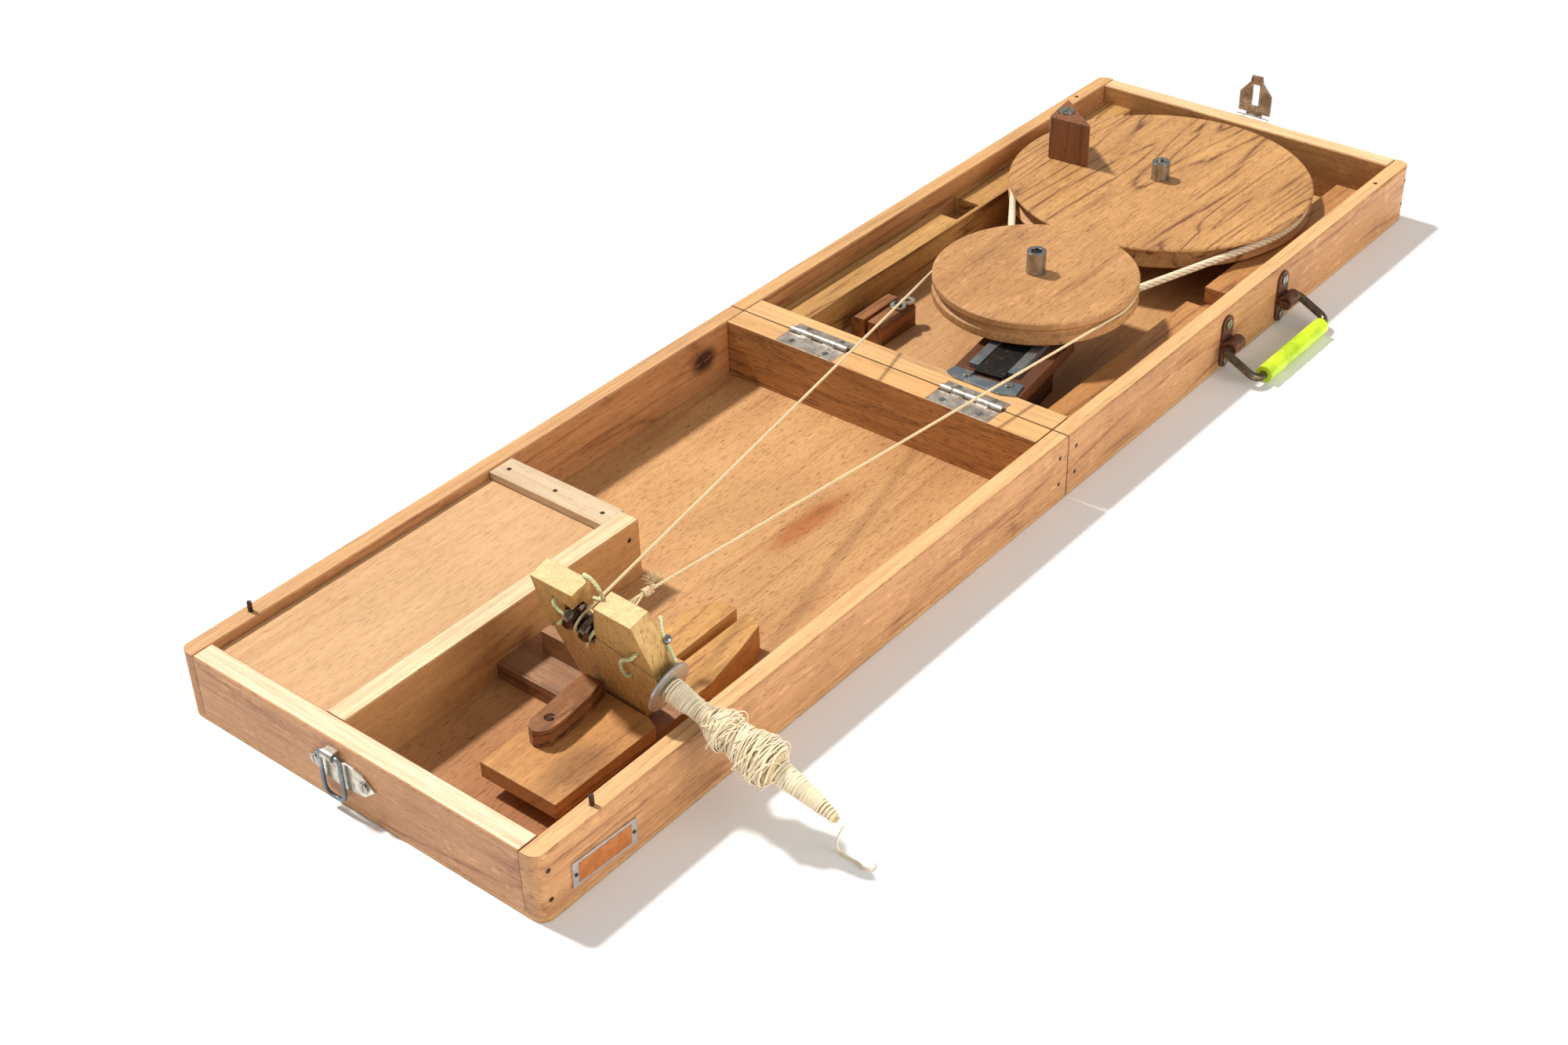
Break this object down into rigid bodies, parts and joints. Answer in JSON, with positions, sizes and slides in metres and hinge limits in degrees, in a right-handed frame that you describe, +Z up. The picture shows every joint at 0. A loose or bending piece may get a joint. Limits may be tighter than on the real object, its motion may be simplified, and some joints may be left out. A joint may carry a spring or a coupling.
{
  "type": "box_charkha",
  "caption": "Folding box charkha: a hinged wooden case with drive wheel, accelerator wheel, cord and hand spindle holding a cop of yarn.",
  "frame": {"origin": "resting plane, straight under the drive wheel's axle", "axes": "+X along the open case from the spindle half to the wheel half, +Z up, -Y towards the carrying handle"},
  "size_m": [0.8388, 0.3322, 0.096],
  "materials": {
    "teak": "honey-tan oiled teak, worn",
    "pale_wood": "pale sapwood, unfinished",
    "dark_wood": "dark brown hardwood",
    "floor_ply": "plywood floor panel, matt",
    "wheel_wood": "tan teak with strong grain",
    "orange_wood": "honey-orange hardwood",
    "galvanised": "blotchy galvanised sheet",
    "rusty_steel": "brown rusted steel",
    "steel": "clean drawn steel",
    "gunmetal": "dark polished steel",
    "aluminium": "satin aluminium",
    "black_iron": "blackened iron",
    "cotton": "cream cotton cord",
    "green_string": "pale green string",
    "wool": "cream fuzzy wool yarn",
    "lime_plastic": "fluorescent yellow-green plastic",
    "bright_steel": "bright plated screws"
  },
  "bodies": {
    "wheel_case": {"wheel_case_left_board": "teak", "wheel_case_right_board": "teak", "wheel_case_end_board": "teak", "wheel_case_hinge_board": "teak", "wheel_case_floor": "floor_ply", "wheel_case_nails": "black_iron", "left_rail": "teak", "right_rail": "orange_wood", "tension_board": "dark_wood", "tension_rib": "dark_wood", "tension_end_plate": "galvanised", "channel_rails": "galvanised", "axle_block": "dark_wood", "drive_axle": "steel", "storage_block": "dark_wood", "hinge_leaves_wheel": "rusty_steel", "hinge_pins": "steel", "wheel_case_screws": "bright_steel", "hasp_mount": "galvanised", "handle_brackets": "rusty_steel", "drive_belt": "cotton", "drive_cord": "cotton"},
    "drive_wheel": {"drive_wheel": "wheel_wood", "drive_hub_tube": "steel", "crank_screw": "bright_steel"},
    "crank_knob": {"crank_knob": "dark_wood"},
    "tension_slide": {"slider_plate": "black_iron"},
    "accelerator": {"accelerator_wheel": "wheel_wood", "accelerator_tube": "steel", "belt_pulley": "wheel_wood"},
    "storage_clip": {"storage_clip": "galvanised"},
    "hasp": {"hasp": "galvanised"},
    "bail": {"handle_bail": "steel", "handle_grip": "lime_plastic"},
    "spindle_case": {"spindle_case_left_board": "teak", "spindle_case_right_board": "teak", "spindle_case_end_board": "teak", "spindle_case_hinge_board": "teak", "spindle_case_floor": "floor_ply", "spindle_case_nails": "black_iron", "name_plate": "aluminium", "divider": "pale_wood", "compartment_end": "pale_wood", "compartment_slat": "pale_wood", "cross_block": "dark_wood", "spindle_plank": "orange_wood", "spindle_fork": "orange_wood", "hinge_leaves_spindle": "galvanised", "spindle_case_screws": "bright_steel", "keeper_plate": "galvanised", "yarn_tail": "wool"},
    "cover": {"cover_panel": "floor_ply"},
    "turn_button": {"turn_button": "dark_wood"},
    "holder": {"spindle_holder": "pale_wood", "holder_ties": "green_string"},
    "spindle": {"spindle_rod": "rusty_steel", "whorl": "gunmetal", "spindle_disc": "aluminium", "cop": "wool"},
    "keeper_loop": {"keeper_loop": "steel"}
  },
  "joints": [
    {"name": "case_fold", "type": "hinge", "parent": "wheel_case", "child": "spindle_case", "pos_m": [-0.2945, 0, 0.0392], "axis": [0, 1, 0], "range_deg": [0, 150], "deforming": ["drive_cord"]},
    {"name": "drive_wheel_spin", "type": "hinge", "parent": "wheel_case", "child": "drive_wheel", "pos_m": [0, 0, 0.0335], "axis": [0, 0, 1], "continuous": true},
    {"name": "crank_knob_spin", "type": "hinge", "parent": "drive_wheel", "child": "crank_knob", "pos_m": [-0.004, 0.0715, 0.055], "axis": [0, 0, 1], "continuous": true},
    {"name": "tension_slide", "type": "slide", "parent": "wheel_case", "child": "tension_slide", "axis": [0.9914, 0.1305, 0], "range_m": [-0.002, 0.004], "stiffness_N_per_m": 400, "deforming": ["drive_belt", "drive_cord"]},
    {"name": "accelerator_spin", "type": "hinge", "parent": "tension_slide", "child": "accelerator", "pos_m": [-0.1823, -0.0229, 0.05], "axis": [0, 0, 1], "continuous": true},
    {"name": "storage_clip_turn", "type": "hinge", "parent": "wheel_case", "child": "storage_clip", "pos_m": [-0.2065, 0.06, 0.019], "axis": [0, 0, 1], "range_deg": [-30, 90]},
    {"name": "hasp_swing", "type": "hinge", "parent": "wheel_case", "child": "hasp", "pos_m": [0.1231, 0, 0.036], "axis": [0, 1, 0], "range_deg": [-12, 165]},
    {"name": "handle_swing", "type": "hinge", "parent": "wheel_case", "child": "bail", "pos_m": [-0.089, -0.1262, 0.017], "axis": [1, 0, 0], "range_deg": [-110, 0]},
    {"name": "cover_lift", "type": "slide", "parent": "spindle_case", "child": "cover", "axis": [0, 0, 1], "range_m": [0, 0.06]},
    {"name": "turn_button_turn", "type": "hinge", "parent": "spindle_case", "child": "turn_button", "pos_m": [-0.6295, -0.052, 0.026], "axis": [0, 0, 1], "range_deg": [0, 90]},
    {"name": "holder_fold", "type": "hinge", "parent": "spindle_case", "child": "holder", "pos_m": [-0.5835, -0.0575, 0.0145], "axis": [0, 1, 0], "range_deg": [0, 30], "deforming": ["drive_cord"]},
    {"name": "spindle_spin", "type": "hinge", "parent": "holder", "child": "spindle", "pos_m": [-0.6019, -0.0514, 0.0704], "axis": [0.026, -0.9585, -0.2838], "continuous": true},
    {"name": "keeper_loop_swing", "type": "hinge", "parent": "spindle_case", "child": "keeper_loop", "pos_m": [-0.7107, 0.0095, 0.032], "axis": [0, 1, 0], "range_deg": [0, 120]}
  ],
  "couplings": [
    {"joint": "accelerator_spin", "follows": "drive_wheel_spin", "ratio": 5.8642},
    {"joint": "spindle_spin", "follows": "drive_wheel_spin", "ratio": 64.186}
  ]
}
